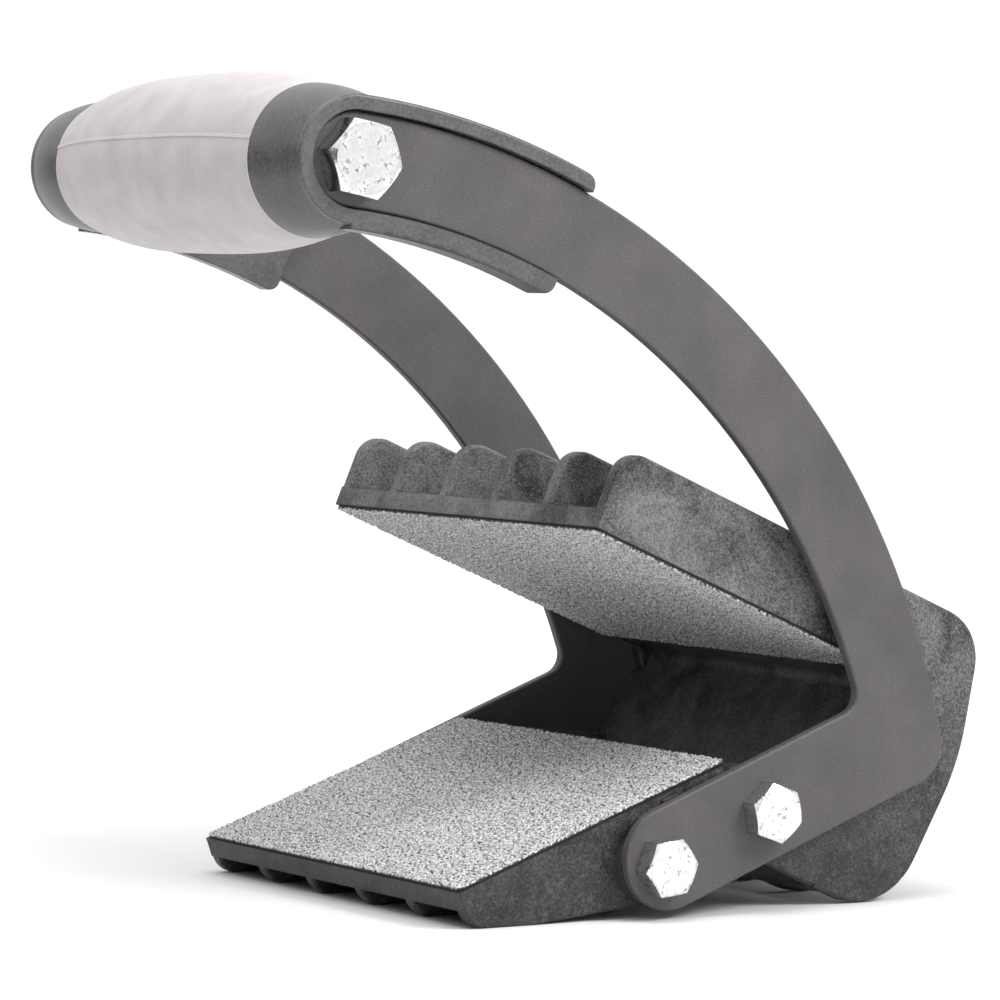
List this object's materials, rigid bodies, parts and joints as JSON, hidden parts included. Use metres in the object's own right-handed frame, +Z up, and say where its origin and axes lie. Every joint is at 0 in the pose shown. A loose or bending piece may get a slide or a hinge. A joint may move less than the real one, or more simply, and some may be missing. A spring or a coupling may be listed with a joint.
{
  "type": "panel carrier",
  "caption": "One-hand carrier for sheet material: a barrel grip on two bowed side plates over ribbed hinged jaws with gritty faces that close on the sheet's edge when the grip is lifted",
  "frame": {"origin": "on the floor under the middle of the carrier's box", "axes": "X across from the nut side to the bolt-head side, Y from the open mouth to the heel, Z up"},
  "size_m": [0.151, 0.2065, 0.1997],
  "materials": {
    "powder_coat": "satin powder coat with a fine grain",
    "handle_plastic": "satin moulded",
    "grip_rubber": "soft matt",
    "jaw_plastic": "coarse moulded texture",
    "pad_rubber": "gritty",
    "nylon": "plain",
    "acetal": "smooth",
    "plain_steel": "turned",
    "zinc_steel": "bright zinc"
  },
  "bodies": {
    "frame": {"side_plate_right": "powder_coat", "side_plate_left": "powder_coat", "handle_core": "handle_plastic", "handle_grip": "grip_rubber", "handle_rod": "plain_steel", "handle_bolt_right": "zinc_steel", "handle_bolt_left": "zinc_steel", "front_pivot_bolt": "zinc_steel", "front_pivot_nut": "zinc_steel", "front_nut_insert": "nylon", "front_pivot_sleeve": "plain_steel", "front_thrust_washer_right": "acetal", "front_thrust_washer_left": "acetal", "rear_pivot_bolt": "zinc_steel", "rear_pivot_nut": "zinc_steel", "rear_nut_insert": "nylon", "rear_pivot_sleeve": "plain_steel", "rear_thrust_washer_right": "acetal", "rear_thrust_washer_left": "acetal"},
    "lower_jaw": {"lower_jaw": "jaw_plastic", "lower_jaw_pad": "pad_rubber", "lower_jaw_bush_right": "acetal", "lower_jaw_bush_left": "acetal"},
    "upper_jaw": {"upper_jaw": "jaw_plastic", "upper_jaw_pad": "pad_rubber", "upper_jaw_bush_right": "acetal", "upper_jaw_bush_left": "acetal"}
  },
  "joints": [
    {"name": "lower_jaw_pivot", "type": "hinge", "parent": "frame", "child": "lower_jaw", "pos_m": [0, 0.0056, 0.013], "axis": [1, 0, 0], "range_deg": [0, 40]},
    {"name": "upper_jaw_pivot", "type": "hinge", "parent": "frame", "child": "upper_jaw", "pos_m": [0, 0.03594, 0.02465], "axis": [1, 0, 0], "range_deg": [-10, 45]}
  ]
}
